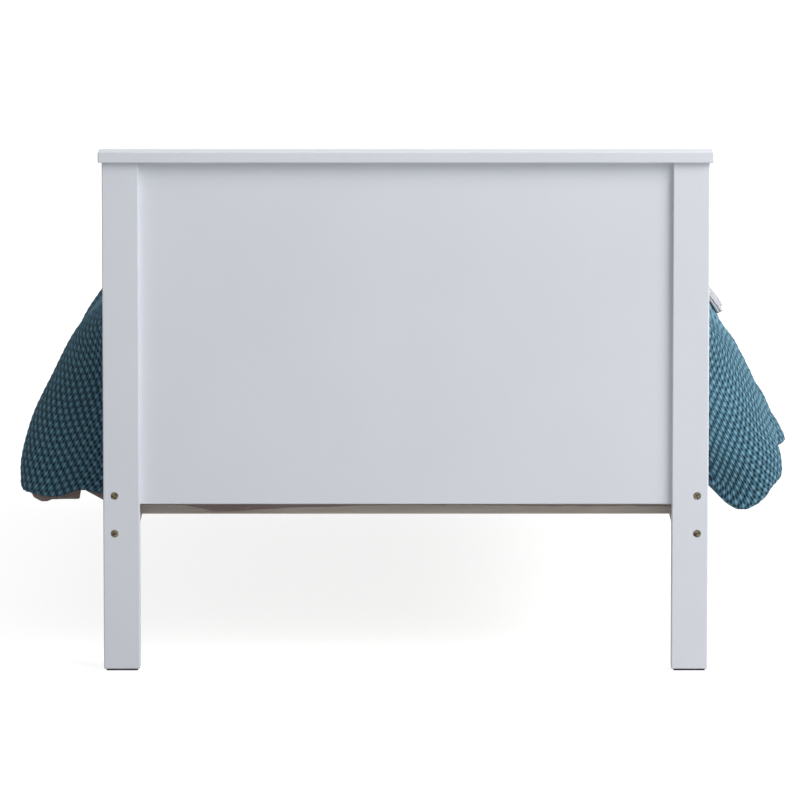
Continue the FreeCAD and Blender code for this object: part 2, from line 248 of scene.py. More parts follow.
# Height of the quilt's hem at the head end, from left to right
head_hem = [
    (-0.468, 0.285),
    (-0.420, 0.281),
    (-0.360, 0.268),
    (-0.320, 0.260),
    (-0.280, 0.260),
    (-0.200, 0.265),
    (-0.110, 0.267),
    (-0.020, 0.270),
    (0.060, 0.269),
    (0.468, 0.267),
]

# The quilt cover's flange
flange_thickness = 0.0025
flange_rows = 801
flange_head_margin = 0.002
flange_foot_margin = 0.02
flange_drop = 0.004
flange_wave = 0.004
flange_blend = 0.1
flange_least = 0.0005

# Height of the left flange's lower edge, at its reach from the bed's middle, along the wing
flange_tip = [
    (0.5035, 0.2690),
    (0.5340, 0.2855),
    (0.5355, 0.3000),
    (0.5415, 0.3000),
    (0.5420, 0.2720),
    (0.5480, 0.2705),
    (0.5910, 0.2687),
    (0.5980, 0.2652),
    (0.6080, 0.2642),
    (0.6215, 0.2696),
    (0.6280, 0.2800),
]

# Throw
throw_layer = 0.0045
throw_ribs = 192
throw_rib = 0.0011
throw_rows = 25
throw_bend_steps = 9
throw_half_columns = 120
throw_width = 0.300
throw_foot_margin = 0.210
throw_middle = foot_end - throw_foot_margin - throw_width / 2
throw_turn = math.radians(5)
throw_left_hem = 0.510
throw_right_hem = 0.430
throw_hem_swell = 0.0026
throw_hem_share = 0.045
throw_rest = 0.0014
throw_fold_gap = 0.0006

# Mattress: the insets of its panels' rings, the inset and rise of each ring round its edges, and its quilting
mattress_points = 240
mattress_power = 14
mattress_insets = [0.44, 0.40, 0.34, 0.28, 0.22, 0.16, 0.11, 0.07, 0.045]
mattress_edge = [(0.030, 0.000), (0.012, 0.004), (0.003, 0.011), (0.0, 0.016), (0.006, 0.021), (0.004, 0.028)]
quilting_pitch = 0.15
quilting_dip = 0.005
quilting_inset = 0.04

# Pillow
pillow_half_x = 0.352
pillow_half_y = 0.222
pillow_rows = 57
pillow_columns = 85
pillow_waist_x = 0.05
pillow_waist_y = 0.07
pillow_crease = 0.0035
pillow_crease_turns = 18
pillow_rest = 0.0022
pillow_seam = 0.036
pillow_corner_lift = 0.012
pillow_top_swell = 0.092
pillow_top_lumps = 0.004
pillow_under_swell = 0.075
pillow_seam_above = 0.0015
pillow_seam_below = 0.003
pillow_under_columns = 30


def ease(value, low, high):
    """0 below low, 1 above high, and a smooth step between them."""
    share = np.clip((value - low) / (high - low), 0, 1)
    return share * share * (3 - 2 * share)


def ripple(a, b, seed):
    """A smooth uneven wave from about -1 to 1 over two arrays of places, in metres."""
    longest = 0.55
    total = np.zeros(np.broadcast(a, b).shape)
    for number in range(5):
        turn = seed * 1.7 + number * 2.4
        pitch = longest / (1 + 0.45 * number)
        along = (a * math.cos(turn) + b * math.sin(turn)) * 2 * math.pi / pitch
        total += np.sin(along + seed * (number + 1)) / (1 + number)
    return total / 2.2


def spline(points, samples):
    """Smooth curves through points, an array (curves, places, 2), as samples at even steps of length."""
    span_steps = 24
    gaps = np.linalg.norm(np.diff(points, axis=1), axis=2)[..., None]
    slopes = np.diff(points, axis=1) / gaps
    inner = (slopes[:, :-1] * gaps[:, 1:] + slopes[:, 1:] * gaps[:, :-1]) / (gaps[:, :-1] + gaps[:, 1:])
    tangents = np.concatenate([slopes[:, :1], inner, slopes[:, -1:]], axis=1)
    t = np.linspace(0, 1, span_steps, endpoint=False)[None, :, None]
    spans = []
    for k in range(points.shape[1] - 1):
        a, b = points[:, None, k], points[:, None, k + 1]
        ta = tangents[:, None, k] * gaps[:, None, k]
        tb = tangents[:, None, k + 1] * gaps[:, None, k]
        spans.append(
            a * (2 * t**3 - 3 * t**2 + 1) + b * (3 * t**2 - 2 * t**3)
            + ta * (t**3 - 2 * t**2 + t) + tb * (t**3 - t**2)
        )
    spans.append(points[:, -1:])
    curve = np.concatenate(spans, axis=1)
    steps = np.linalg.norm(np.diff(curve, axis=1), axis=2)
    length = np.concatenate([np.zeros((len(curve), 1)), np.cumsum(steps, axis=1)], axis=1)
    even = np.empty((len(curve), samples, 2))
    for row in range(len(curve)):
        wanted = np.linspace(0, length[row, -1], samples)
        for axis in range(2):
            even[row, :, axis] = np.interp(wanted, length[row], curve[row, :, axis])
    return even


def fold_line(past, phase):
    """How far the folds draw a flap in, at distances past its wing."""
    length = bed_length - wing_distance
    turn = 2 * math.pi * round(length / fold_pitch) * past / length
    wander = np.sin(2 * math.pi * past / fold_wander_pitch + phase) - math.sin(phase)
    turn = turn + fold_wander * wander * ease(past, 0, fold_wander_start)
    depth = fold_depth * (1 + fold_change * np.sin(2 * math.pi * past / fold_change_pitch + 2 * phase))
    return -depth * (1 - np.cos(turn)) / 2


def hem_line(side, along, past):
    """How far a side's hem rises above its usual height, at distances from the head end and past the wing."""
    hem_at, hem_rise = np.array(side["hem"]).T
    rise = sum(np.interp(along + shift, hem_at, hem_rise) for shift in hem_shifts) / len(hem_shifts)
    wave = hem_wave * np.sin(2 * math.pi * past / hem_wave_pitch + side["phase"])
    return rise + wave * ease(along, hem_wave_start, hem_wave_full)


def half_drape(side, y, columns):
    """Points (y, column, 3) on the drape's outer face, from the bed's middle to one hem."""
    along = (y - head_end)[:, None]
    past = np.clip(along - wing_distance, 0, None)
    near_head = np.clip(1 - along / wing_distance, 0, None) ** 2
    near_foot = np.clip(1 - (bed_length - along) / end_length, 0, None) ** 2
    fall = end_fall * (near_head**2 + near_foot) + foot_fall * along / bed_length
    fold = fold_line(past, side["phase"])
    flare = np.interp(along, *np.array(side["flare"]).T)
    rise = hem_line(side, along, past)
    narrower = foot_taper * np.clip(along - taper_start, 0, None) / (bed_length - taper_start)
    sink = side["sink"] * np.clip(along / sink_length, 0, 1)
    reach, height = np.array(side["flap"]).T
    x = reach - narrower - side["tuck"] * near_head * pull_shares + fold * fold_shares + flare * flare_shares
    z = height - fall * fall_shares - sink * sink_shares + rise * hem_shares
    crown_x = np.zeros_like(along) + crown_reaches
    crown_z = crown_height - fall - crown_drops
    places = np.stack([np.concatenate([crown_x, x], axis=1), np.concatenate([crown_z, z], axis=1)], axis=2)
    section = spline(places, columns)
    wide = np.broadcast_to(y[:, None], section.shape[:2])
    flat = 1 - ease(section[..., 0], top_reach, flap_reach)
    lumps = lump_height * flat * ripple(section[..., 0] * side["sign"], wide, lump_seed)
    swell = swell_depth * (1 - flat) * ripple(wide, section[..., 1], swell_seed + side["phase"])
    low = np.clip((lean_top - section[..., 1]) / (lean_top - lean_bottom), 0, 1)
    lean = wing_lean * near_head * low**2
    return np.stack([side["sign"] * (section[..., 0] + swell), wide + lean, section[..., 1] + lumps], axis=2)


def along_bed(points, start, end, rows):
    """Points resampled along the bed at even steps of length, from one y to another in each column."""
    made = np.empty((rows, points.shape[1], 3))
    for column in range(points.shape[1]):
        line = points[:, column]
        steps = np.linalg.norm(np.diff(line, axis=0), axis=1)
        length = np.concatenate([[0], np.cumsum(steps)])
        first = np.interp(start[column], line[:, 1], length)
        last = np.interp(end[column], line[:, 1], length)
        wanted = np.linspace(first, last, rows)
        for axis in range(3):
            made[:, column, axis] = np.interp(wanted, length, line[:, axis])
    return made


def drape_lines(half_columns):
    """The whole drape's outer face as an array (y, column, 3), from left hem to right hem at each y."""
    y = np.linspace(head_end, foot_end, drape_steps)
    left = half_drape(sides["left"], y, half_columns + 1)
    right = half_drape(sides["right"], y, half_columns + 1)
    return np.concatenate([left[:, :0:-1], right], axis=1)


def drape(rows, half_columns, top_margin, wing_margin, foot_margin):
    """A grid (row, column, 3) on the drape's outer face, from head to foot and from left hem to right hem."""
    lines = drape_lines(half_columns)
    aside = np.abs(np.linspace(-1, 1, 2 * half_columns + 1))
    start = head_end + top_margin + (wing_margin - top_margin) * ease(aside, wing_share_from, wing_share_to)
    end = np.full(2 * half_columns + 1, foot_end - foot_margin)
    return along_bed(lines, start, end, rows)


def normals_of(grid):
    """Unit normals of a grid, outwards from the bed."""
    across = np.gradient(grid, axis=1)
    along = np.gradient(grid, axis=0)
    normal = np.cross(across, along)
    return normal / np.linalg.norm(normal, axis=2, keepdims=True)


def flat_size(grid):
    """Mean width and length of a grid, along the cloth."""
    width = np.linalg.norm(np.diff(grid, axis=1), axis=2).sum(1).mean()
    length = np.linalg.norm(np.diff(grid, axis=0), axis=2).sum(0).mean()
    return width, length


def edge_distance(grid):
    """Distance from each point of a grid to its nearest border, along the cloth."""
    row_step = np.linalg.norm(np.diff(grid, axis=0), axis=2).mean()
    column_step = np.linalg.norm(np.diff(grid, axis=1), axis=2).mean()
    rows, columns = grid.shape[:2]
    i = np.minimum(np.arange(rows), np.arange(rows)[::-1])[:, None] * row_step
    j = np.minimum(np.arange(columns), np.arange(columns)[::-1])[None, :] * column_step
    return np.minimum(i, j)


def rounded_border(grid, thickness):
    """How far a cloth's outer face drops near its border, so that the edge is round."""
    share = np.clip(1 - edge_distance(grid) / thickness, 0, 1)
    return thickness * (1 - np.sqrt(1 - share**2))


def new_object(name, mesh, body, node, material):
    """A piece in the scene that rides on a body, and stands for a CAD node if one is named."""
    made = bpy.data.objects.new(name, mesh)
    bpy.context.scene.collection.objects.link(made)
    mesh.materials.append(material)
    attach(made, body)
    if node:
        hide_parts(node)
    return made


def cloth_slab(name, outer, inner):
    """A closed mesh from a fine outer grid and a coarse inner one, joined by polygons round the border.

    The inner grid's steps are whole numbers of the outer one's. The map holds the outer face above a narrow
    strip for the inner one."""
    rows, columns = outer.shape[:2]
    inner_rows, inner_columns = inner.shape[:2]
    step_r = (rows - 1) // (inner_rows - 1)
    step_c = (columns - 1) // (inner_columns - 1)
    index = np.arange(rows * columns).reshape(rows, columns)
    below = np.arange(inner_rows * inner_columns).reshape(inner_rows, inner_columns) + rows * columns
    place = np.empty((rows * columns + inner_rows * inner_columns, 2))
    i, j = np.mgrid[0:rows, 0:columns]
    place[: rows * columns, 0] = (j / (columns - 1)).ravel()
    place[: rows * columns, 1] = (1 - outer_share + outer_share * i / (rows - 1)).ravel()
    i, j = np.mgrid[0:inner_rows, 0:inner_columns]
    place[rows * columns :, 0] = (j / (inner_columns - 1)).ravel()
    place[rows * columns :, 1] = ((1 - outer_share) * strip_fill * i / (inner_rows - 1)).ravel()
    up = np.stack([index[:-1, :-1], index[:-1, 1:], index[1:, 1:], index[1:, :-1]], axis=2).reshape(-1, 4)
    down = np.stack([below[:-1, :-1], below[1:, :-1], below[1:, 1:], below[:-1, 1:]], axis=2).reshape(-1, 4)
    faces = up.tolist() + down.tolist()
    map_from = faces.copy()
    for k in range(inner_columns - 1):
        a, b = k * step_c, (k + 1) * step_c
        head = index[0, a : b + 1][::-1].tolist()
        foot = index[-1, a : b + 1].tolist()
        faces += [head + below[0, k : k + 2].tolist(), foot + below[-1, k : k + 2][::-1].tolist()]
        map_from += [head + [index[0, a], index[0, b]], foot + [index[-1, b], index[-1, a]]]
    for k in range(inner_rows - 1):
        a, b = k * step_r, (k + 1) * step_r
        left = index[a : b + 1, 0].tolist()
        right = index[a : b + 1, -1][::-1].tolist()
        faces += [left + below[k : k + 2, 0][::-1].tolist(), right + below[k : k + 2, -1].tolist()]
        map_from += [left + [index[b, 0], index[a, 0]], right + [index[a, -1], index[b, -1]]]
    mesh = bpy.data.meshes.new(name)
    mesh.from_pydata(np.concatenate([outer.reshape(-1, 3), inner.reshape(-1, 3)]).tolist(), [], faces)
    mesh.shade_smooth()
    layer = mesh.uv_layers.new(name="OFBake")
    corners = np.concatenate([np.array(face) for face in map_from])
    layer.uv.foreach_set("vector", place[corners].astype(np.float32).ravel())
    return mesh


def add_node(tree, kind, settings=None, **inputs):
    """A shader node with its settings, and its inputs set or linked by name."""
    made = tree.nodes.new("ShaderNode" + kind)
    for name, value in (settings or {}).items():
        setattr(made, name, value)
    for name, value in inputs.items():
        set_socket(tree, made.inputs[name.replace("_", " ")], value)
    return made


def set_socket(tree, socket, value):
    """Links a socket to another one, or sets it to a plain value."""
    if isinstance(value, bpy.types.NodeSocket):
        tree.links.new(value, socket)
    else:
        socket.default_value = value


def new_material(name, **values):
    """A material with a Principled shader whose sockets are set by name."""
    material = bpy.data.materials.new(name)
    material.use_nodes = True
    shader = material.node_tree.nodes["Principled BSDF"]
    for socket, value in values.items():
        shader.inputs[socket.replace("_", " ")].default_value = value
    return material, material.node_tree, shader


def object_place(tree, scale=(1, 1, 1)):
    """Object coordinates in metres, scaled along each axis."""
    place = add_node(tree, "TexCoord").outputs["Object"]
    return add_node(tree, "Mapping", Vector=place, Scale=scale).outputs["Vector"]


def cloth_place(tree, size, scale):
    """Places on the cloth in metres, scaled across and along it."""
    place = add_node(tree, "UVMap", {"uv_map": "OFBake"}).outputs["UV"]
    real = (size[0] * scale[0], size[1] / outer_share * scale[1], 1)
    return add_node(tree, "Mapping", Vector=place, Scale=real).outputs["Vector"]


def on_cloth(size):
    """A function for woven that gives places on a cloth of this width and length."""
    return lambda tree, scale: cloth_place(tree, size, scale)


def noise(tree, place, scale, detail=3.0, roughness=0.5):
    """Smooth noise from 0 to 1."""
    made = add_node(tree, "TexNoise", Vector=place, Scale=scale, Detail=detail, Roughness=roughness)
    return made.outputs["Fac"]


def ramp(tree, value, stops):
    """Colours between stops of a value from 0 to 1."""
    made = add_node(tree, "ValToRGB", Fac=value)
    elements = made.color_ramp.elements
    while len(elements) < len(stops):
        elements.new(0.5)
    for element, (position, colour) in zip(elements, stops):
        element.position = position
        element.color = (*colour, 1)
    return made.outputs["Color"]


def calculate(tree, operation, a, b=0.0):
    """One step of arithmetic on sockets or plain values."""
    made = add_node(tree, "Math", {"operation": operation})
    for socket, value in zip(made.inputs, (a, b)):
        set_socket(tree, socket, value)
    return made.outputs["Value"]


def weighted_sum(tree, start, parts):
    """A start value plus each part times its weight."""
    total = start
    for value, weight in parts:
        total = calculate(tree, "ADD", calculate(tree, "MULTIPLY", value, weight), total)
    return total


def bump(tree, shader, height, distance, strength):
    """Relief in the shading from a height from 0 to 1, for a distance in metres."""
    made = add_node(tree, "Bump", Height=height, Distance=distance, Strength=strength)
    tree.links.new(made.outputs["Normal"], shader.inputs["Normal"])


def vary(tree, shader, socket, value, stops):
    """Drives one socket of a shader by colours between stops of a value."""
    tree.links.new(ramp(tree, value, stops), shader.inputs[socket])


def white_paint(axis):
    """Satin paint rolled on wood, with the grain just showing along an axis."""
    material, tree, shader = new_material("white_paint_" + axis, Specular_IOR_Level=0.35)
    along = [7 if axis == name else 160 for name in "xyz"]
    grain = noise(tree, object_place(tree, along), 1.0, 4.0, 0.6)
    stipple = noise(tree, object_place(tree), 900.0, 2.0)
    cloud = noise(tree, object_place(tree), 4.0)
    vary(tree, shader, "Base Color", cloud, [(0.3, (0.775, 0.803, 0.862)), (0.7, (0.80, 0.828, 0.885))])
    vary(tree, shader, "Roughness", cloud, [(0.3, (0.42,) * 3), (0.7, (0.50,) * 3)])
    bump(tree, shader, weighted_sum(tree, 0.0, [(grain, 0.6), (stipple, 0.4)]), 0.0002, 0.5)
    return material


def bare_pine(axis, name="bare_pine", light=(0.80, 0.73, 0.66), dark=(0.50, 0.43, 0.37)):
    """Unfinished softwood: growth rings drawn out along an axis, fine fibres and a rough surface."""
    material, tree, shader = new_material(name + "_" + axis, Roughness=0.78, Specular_IOR_Level=0.25)
    rings = [1.6 if axis == letter else 42 for letter in "xyz"]
    fibres = [12 if axis == letter else 900 for letter in "xyz"]
    band = noise(tree, object_place(tree, rings), 1.0, 5.0, 0.62)
    fibre = noise(tree, object_place(tree, fibres), 1.0, 2.0)
    mixed = weighted_sum(tree, 0.0, [(band, 0.8), (fibre, 0.2)])
    middle = [(a + b) / 2 for a, b in zip(light, dark)]
    vary(tree, shader, "Base Color", mixed, [(0.36, dark), (0.47, middle), (0.60, light)])
    bump(tree, shader, mixed, 0.0006, 0.7)
    return material


def zinc_plate():
    """Yellow zinc plate with fine turning marks, its colour painted dark as shade and as the dark
    surroundings it reflects.
    """
    material, tree, shader = new_material("zinc_plate", Metallic=1.0)
    cloud = noise(tree, object_place(tree), 260.0)
    marks = noise(tree, object_place(tree), 2400.0, 2.0)
    # Painted shade and reflection: the colour is kept dark to stand for shade and dark reflections. The red
    # and yellow tints are the plating's own.
    vary(tree, shader, "Base Color", cloud, [(0.38, (0.055, 0.030, 0.028)), (0.66, (0.24, 0.21, 0.14))])
    vary(tree, shader, "Roughness", marks, [(0.3, (0.28,) * 3), (0.7, (0.46,) * 3)])
    bump(tree, shader, marks, 0.0001, 0.4)
    return material


def felt_pad():
    """Dark felt with loose fibres."""
    material, tree, shader = new_material("felt_pad", Roughness=0.95, Specular_IOR_Level=0.1)
    fibre = noise(tree, object_place(tree), 1500.0, 4.0)
    vary(tree, shader, "Base Color", fibre, [(0.3, (0.06, 0.06, 0.065)), (0.7, (0.12, 0.12, 0.125))])
    bump(tree, shader, fibre, 0.0004, 0.8)
    return material


def woven(name, place_of, light, dark, thread):
    """Plain woven cloth: threads over and under each other at a pitch in metres, with slubs."""
    material, tree, shader = new_material(
        name, Roughness=0.85, Specular_IOR_Level=0.2, Sheen_Weight=0.2, Sheen_Roughness=0.4
    )
    turns = 2 * math.pi / thread
    waves = []
    for scale in ((1, 0), (0, 1)):
        split = add_node(tree, "SeparateXYZ", Vector=place_of(tree, scale))
        line = calculate(tree, "ADD", split.outputs["X"], split.outputs["Y"])
        waves.append(calculate(tree, "SINE", calculate(tree, "MULTIPLY", line, turns)))
    weave = calculate(tree, "MULTIPLY", *waves)
    slub = noise(tree, place_of(tree, (30, 420)), 1.0)
    cloud = noise(tree, place_of(tree, (9, 9)), 1.0)
    tone = weighted_sum(tree, 0.0, [(slub, 0.5), (cloud, 0.5)])
    vary(tree, shader, "Base Color", tone, [(0.35, dark), (0.65, light)])
    bump(tree, shader, weighted_sum(tree, weave, [(slub, 0.8)]), 0.0002, 0.5)
    return material


def stitch_angles(tree):
    """The knit's turn along the bed and across it, from the middle outwards, from the cloth's map."""
    place = add_node(tree, "SeparateXYZ", Vector=add_node(tree, "UVMap", {"uv_map": "OFBake"}).outputs["UV"])
    aside = calculate(tree, "ABSOLUTE", calculate(tree, "SUBTRACT", place.outputs["X"], 0.5))
    across = calculate(tree, "MULTIPLY", aside, 2 * math.pi * stitch_columns)
    down = calculate(tree, "SUBTRACT", place.outputs["Y"], 1 - outer_share)
    along = calculate(tree, "MULTIPLY", down, 2 * math.pi * stitch_rows / outer_share)
    return along, across


def teal_knit(size):
    """Thick cotton yarn in moss stitch: staggered beads and slanting strands in them, with painted shade in
    the pits between and a painted highlight on the bead tops.
    """
    material, tree, shader = new_material(
        "teal_knit", Roughness=0.88, Specular_IOR_Level=0.18, Sheen_Weight=0.25, Sheen_Roughness=0.45
    )
    shader.inputs["Sheen Tint"].default_value = (0.55, 0.78, 0.9, 1)

    def centred_noise(scale, *detail):
        return calculate(tree, "SUBTRACT", noise(tree, cloth_place(tree, size, scale), 1.0, *detail), 0.5)

    def wave(angle, turns=1.0):
        return calculate(tree, "COSINE", calculate(tree, "MULTIPLY", angle, turns))

    along, across = stitch_angles(tree)
    along = weighted_sum(tree, along, [(centred_noise((45, 45), 2.0), 2.2)])
    leaning = calculate(tree, "ADD", along, across)
    slanting = calculate(tree, "SUBTRACT", along, across)
    parts = [
        (wave(leaning), 0.20),
        (wave(slanting), 0.12),
        (wave(slanting, 2.0), 0.16),
        (wave(across, 2.0), 0.12),
        (centred_noise((420, 900), 3.0, 0.6), 1.0),
    ]
    height = weighted_sum(tree, 0.5, parts)
    tone = weighted_sum(tree, height, [(centred_noise((7, 7)), 0.2)])
    # Painted shade and highlight: the colour follows the stitch height, near black in the pits where shade
    # falls and lighter on the bead tops as if lit. The teal hue is the yarn's own.
    colours = [
        (0.16, (0.004, 0.010, 0.014)),
        (0.38, (0.028, 0.079, 0.119)),
        (0.60, (0.088, 0.226, 0.318)),
        (1.00, (0.21, 0.42, 0.53)),
    ]
    vary(tree, shader, "Base Color", tone, colours)
    bump(tree, shader, height, 0.0022, 0.8)
    return material


def assign(names, material):
    """Gives CAD nodes one material."""
    for name in names:
        slots = nodes[name].data.materials
        slots.clear()
        slots.append(material)


def finish_frame():
    """Materials of the frame's own pieces, with the grain along each piece."""
    upright = [end + "_post_" + side for end in ("head", "foot") for side in ("left", "right")]
    assign(upright, white_paint("z"))
    assign(["head_panel", "foot_panel", "head_cap", "foot_cap"], white_paint("x"))
    assign(["side_rail_left", "side_rail_right"], white_paint("y"))
    assign(["slat_cleat_left", "slat_cleat_right"], bare_pine("y"))
    assign([name for name in nodes if name.startswith("slat_") and name[5:].isdigit()], bare_pine("x"))
    beech = {"name": "beech_dowel", "light": (0.62, 0.46, 0.31), "dark": (0.48, 0.34, 0.22)}
    assign(["rail_dowels"], bare_pine("y", **beech))
    assign(["cap_dowels"], bare_pine("z", **beech))
    assign(["rail_bolts", "barrel_nuts", "slat_screws", "cleat_screws"], zinc_plate())
    assign(["foot_glides"], felt_pad())


def make_coverlet():
    """The knitted coverlet: the drape with its stitches raised from it."""
    rows = relief_samples * stitch_rows + 1
    half_columns = relief_samples * stitch_columns // 2
    grid = drape(rows, half_columns, coverlet_top_margin, coverlet_wing_margin, coverlet_foot_margin)
    normal = normals_of(grid)
    i, j = np.mgrid[0:rows, 0 : grid.shape[1]]
    turn = 2 * math.pi / relief_samples
    stitch = np.cos(turn * i) * np.cos(turn * j)
    stitch = stitch * ease(edge_distance(grid), 0.0, plain_edge)
    relief = stitch_relief * np.where(stitch > 0, bead_share, pit_share) * stitch
    outer = grid + normal * (relief - rounded_border(grid, coverlet_thickness))[..., None]
    inner = (grid - normal * coverlet_thickness)[::12, ::10]
    mesh = cloth_slab("coverlet_knit", outer, inner)
    width, length = flat_size(grid)
    made = new_object("coverlet_knit", mesh, "bedding", "coverlet", teal_knit((width, length)))


def make_quilt():
    """The quilt under the coverlet: a soft shell that lies on the mattress and hangs down beside it.

    Gives back the cotton, which its flaps and flanges share."""
    grid = drape(quilt_rows, quilt_half_columns, quilt_top_margin, quilt_wing_margin, quilt_foot_margin)
    grid = grid[:, quilt_trim:-quilt_trim]
    normal = normals_of(grid)
    crease = quilt_crease * ripple(grid[..., 0] * 3, grid[..., 1] * 3 + grid[..., 2] * 2, 7.7)
    under = coverlet_thickness + layer_gap
    face = grid - normal * (under + quilt_crease - crease)[..., None]
    outer = face - normal * rounded_border(grid, quilt_wall)[..., None]
    inner = (face - normal * quilt_wall)[::4, ::4]
    on_top = np.abs(inner[..., 0]) < mattress_high.x
    inner[..., 2] = np.where(on_top, mattress_top + quilt_rest, inner[..., 2])
    mesh = cloth_slab("quilt_cover", outer, inner)
    size = (flat_size(grid)[0], bed_length)
    material = woven("blush_cotton", on_cloth(size), (0.40, 0.31, 0.285), (0.30, 0.23, 0.21), 0.0011)
    made = new_object("quilt_cover", mesh, "bedding", "quilt", material)
    return material


def make_end_flaps(material):
    """The quilt's ends, turned down over the mattress at the head and at the foot.

    At the head the hem droops in front of the first slat."""
    lines = drape_lines(plain_half_columns)
    x = np.linspace(-flap_half_width, flap_half_width, flap_columns)
    down = np.linspace(0, 1, flap_rows)[:, None]
    over = np.clip(1 - down / flap_over_share, 0, 1)
    fall = np.clip((down - flap_over_share) / (1 - flap_over_share), 0, 1)
    half = flap_thickness / 2
    for name, sign, row in (("head", -1, flap_edge_row), ("foot", 1, -flap_edge_row)):
        section = lines[row]
        top = np.interp(x, section[:, 0], section[:, 2]) - coverlet_thickness - quilt_wall
        if name == "head":
            hem = np.interp(x, *np.array(head_hem).T) + head_hem_wave * ripple(x * 6.0, x, 1.0)
        else:
            hem = foot_hem_height + foot_hem_wave * ripple(x * 1.3, x * 0.4, 3.0)
        out = abs(head_end) - flap_inset + flap_spread * ease(fall, 0.4, 0.95) - flap_turn_in * over**2
        wave = flap_wave * ripple(x[None] * 2.2, down * 0.25, 4.4 + sign) * ease(fall, 0.05, 0.7)
        z = top - (top - hem) * fall - flap_sag * (1 - over) ** 2 * (1 - fall)
        mid = np.stack([np.broadcast_to(x, z.shape), sign * (out + wave), z], axis=2)
        normal = normals_of(mid)
        if (normal[flap_rows // 2, flap_columns // 2, 1] > 0) != (sign > 0):
            mid = mid[:, ::-1]
            normal = normals_of(mid)
        outer = mid + normal * (half - rounded_border(mid, half))[..., None]
        inner = mid[::2, ::2] - normal[::2, ::2] * half
        mesh = cloth_slab("quilt_flap_" + name, outer, inner)
        made = new_object("quilt_flap_" + name, mesh, "bedding", None, material)


def flange_edge(hem):
    """Heights of the left flange's lower edge, which shows past the coverlet's hem along the wing."""
    shaped = np.interp(np.abs(hem[:, 0]), *np.array(flange_tip).T)
    plain = hem[:, 2] - flange_drop + flange_wave * ripple(hem[:, 1] * 4.0, hem[:, 1] * 1.1, 6.1)
    far = ease(hem[:, 1] - head_end, wing_distance, wing_distance + flange_blend)
    height = np.minimum(shaped * (1 - far) + plain * far, hem[:, 2] - flange_least)
    hidden = (shaped > hem[:, 2]) & (far == 0)
    return np.where(hidden, hem[:, 2] - flange_least, height)


def make_flanges(material):
    """The quilt cover's flat flange inside the coverlet's hems. On the left it peeps out behind the post."""
    lines = drape_lines(plain_half_columns)
    inside = lines - normals_of(lines) * (coverlet_thickness + flange_thickness)
    for side, chosen in (("left", [0, 1, 2, 3]), ("right", [-2, -3, -4, -5])):
        start = np.full(len(chosen), head_end + flange_head_margin)
        end = np.full(len(chosen), foot_end - flange_foot_margin)
        mid = list(np.moveaxis(along_bed(inside[:, chosen], start, end, flange_rows), 1, 0))
        if side == "left":
            hem = mid[0]
            height = flange_edge(hem)
            for share in (0.5, 1.0):
                lower = hem.copy()
                lower[:, 2] += (height - hem[:, 2]) * share
                mid.insert(0, lower)
        mid = np.stack(mid, axis=1)
        if side == "right":
            mid = mid[:, ::-1]
        normal = normals_of(mid)
        outer = mid + normal * flange_thickness / 2
        inner = (mid - normal * flange_thickness / 2)[::2]
        mesh = cloth_slab("quilt_flange_" + side, outer, inner)
        made = new_object("quilt_flange_" + side, mesh, "bedding", None, material)


def throw_base():
    """The strip of the drape that the throw lies on, a grid (row, column, 3) from left hem to right hem."""
    lines = drape_lines(throw_half_columns)
    y = lines[:, 0, 1]
    middle = lines[np.searchsorted(y, throw_middle)]
    half = len(middle) // 2
    left = np.argmax(middle[:half, 2] > throw_left_hem)
    right = half + np.argmax(middle[half:, 2] < throw_right_hem)
    columns = relief_samples * throw_ribs + 1
    wanted = np.linspace(left, right, columns)
    before = np.floor(wanted).astype(int)
    share = (wanted - before)[None, :, None]
    strip = lines[:, before] * (1 - share) + lines[:, before + 1] * share
    base = np.empty((throw_rows, columns, 3))
    for column in range(columns):
        line = strip[:, column]
        centre = throw_middle - math.tan(throw_turn) * np.interp(throw_middle, y, line[:, 0])
        place = centre + np.linspace(-0.5, 0.5, throw_rows) * throw_width
        for axis in range(3):
            base[:, column, axis] = np.interp(place, y, line[:, axis])
    return base


def make_throw():
    """The ribbed throw, folded double and laid across the foot of the bed at a slight turn."""
    base = throw_base()
    columns = base.shape[1]
    normal = normals_of(base)
    to_end = np.minimum(np.linspace(0, 1, columns), np.linspace(1, 0, columns))
    layer = throw_layer + throw_hem_swell * np.clip(1 - to_end / throw_hem_share, 0, 1)
    low = layer_gap + throw_rest + layer[:, None] / 2
    high = low + layer[:, None] + throw_fold_gap
    bend = (high - low) / 2
    forward = base[-1] - base[-2]
    forward = forward / np.linalg.norm(forward, axis=1, keepdims=True)
    fold = [
        base[-1] + forward * bend * math.cos(angle) + normal[-1] * ((low + high) / 2 + bend * math.sin(angle))
        for angle in np.linspace(math.pi / 2, -math.pi / 2, throw_bend_steps)[1:-1]
    ]
    mid = np.concatenate([base + normal * high, np.stack(fold), (base + normal * low)[::-1]])
    normal = normals_of(mid)
    turn = 2 * math.pi / relief_samples
    rib = throw_rib * np.cos(turn * np.arange(columns))[None, :] * np.ones((len(mid), 1))
    rib[throw_rows:] = 0
    drop = rounded_border(mid, throw_layer / 2)
    outer = mid + normal * (layer / 2 - drop + rib)[..., None]
    inner = (mid - normal * layer[:, None] / 2)[::2, ::8]
    mesh = cloth_slab("foot_throw_fold", outer, inner)
    width, length = flat_size(mid)
    cotton = "white_rib_cotton"
    material = woven(cotton, on_cloth((width, length)), (0.64, 0.64, 0.69), (0.56, 0.56, 0.61), 0.0012)
    made = new_object("foot_throw_fold", mesh, "bedding", "foot_throw", material)


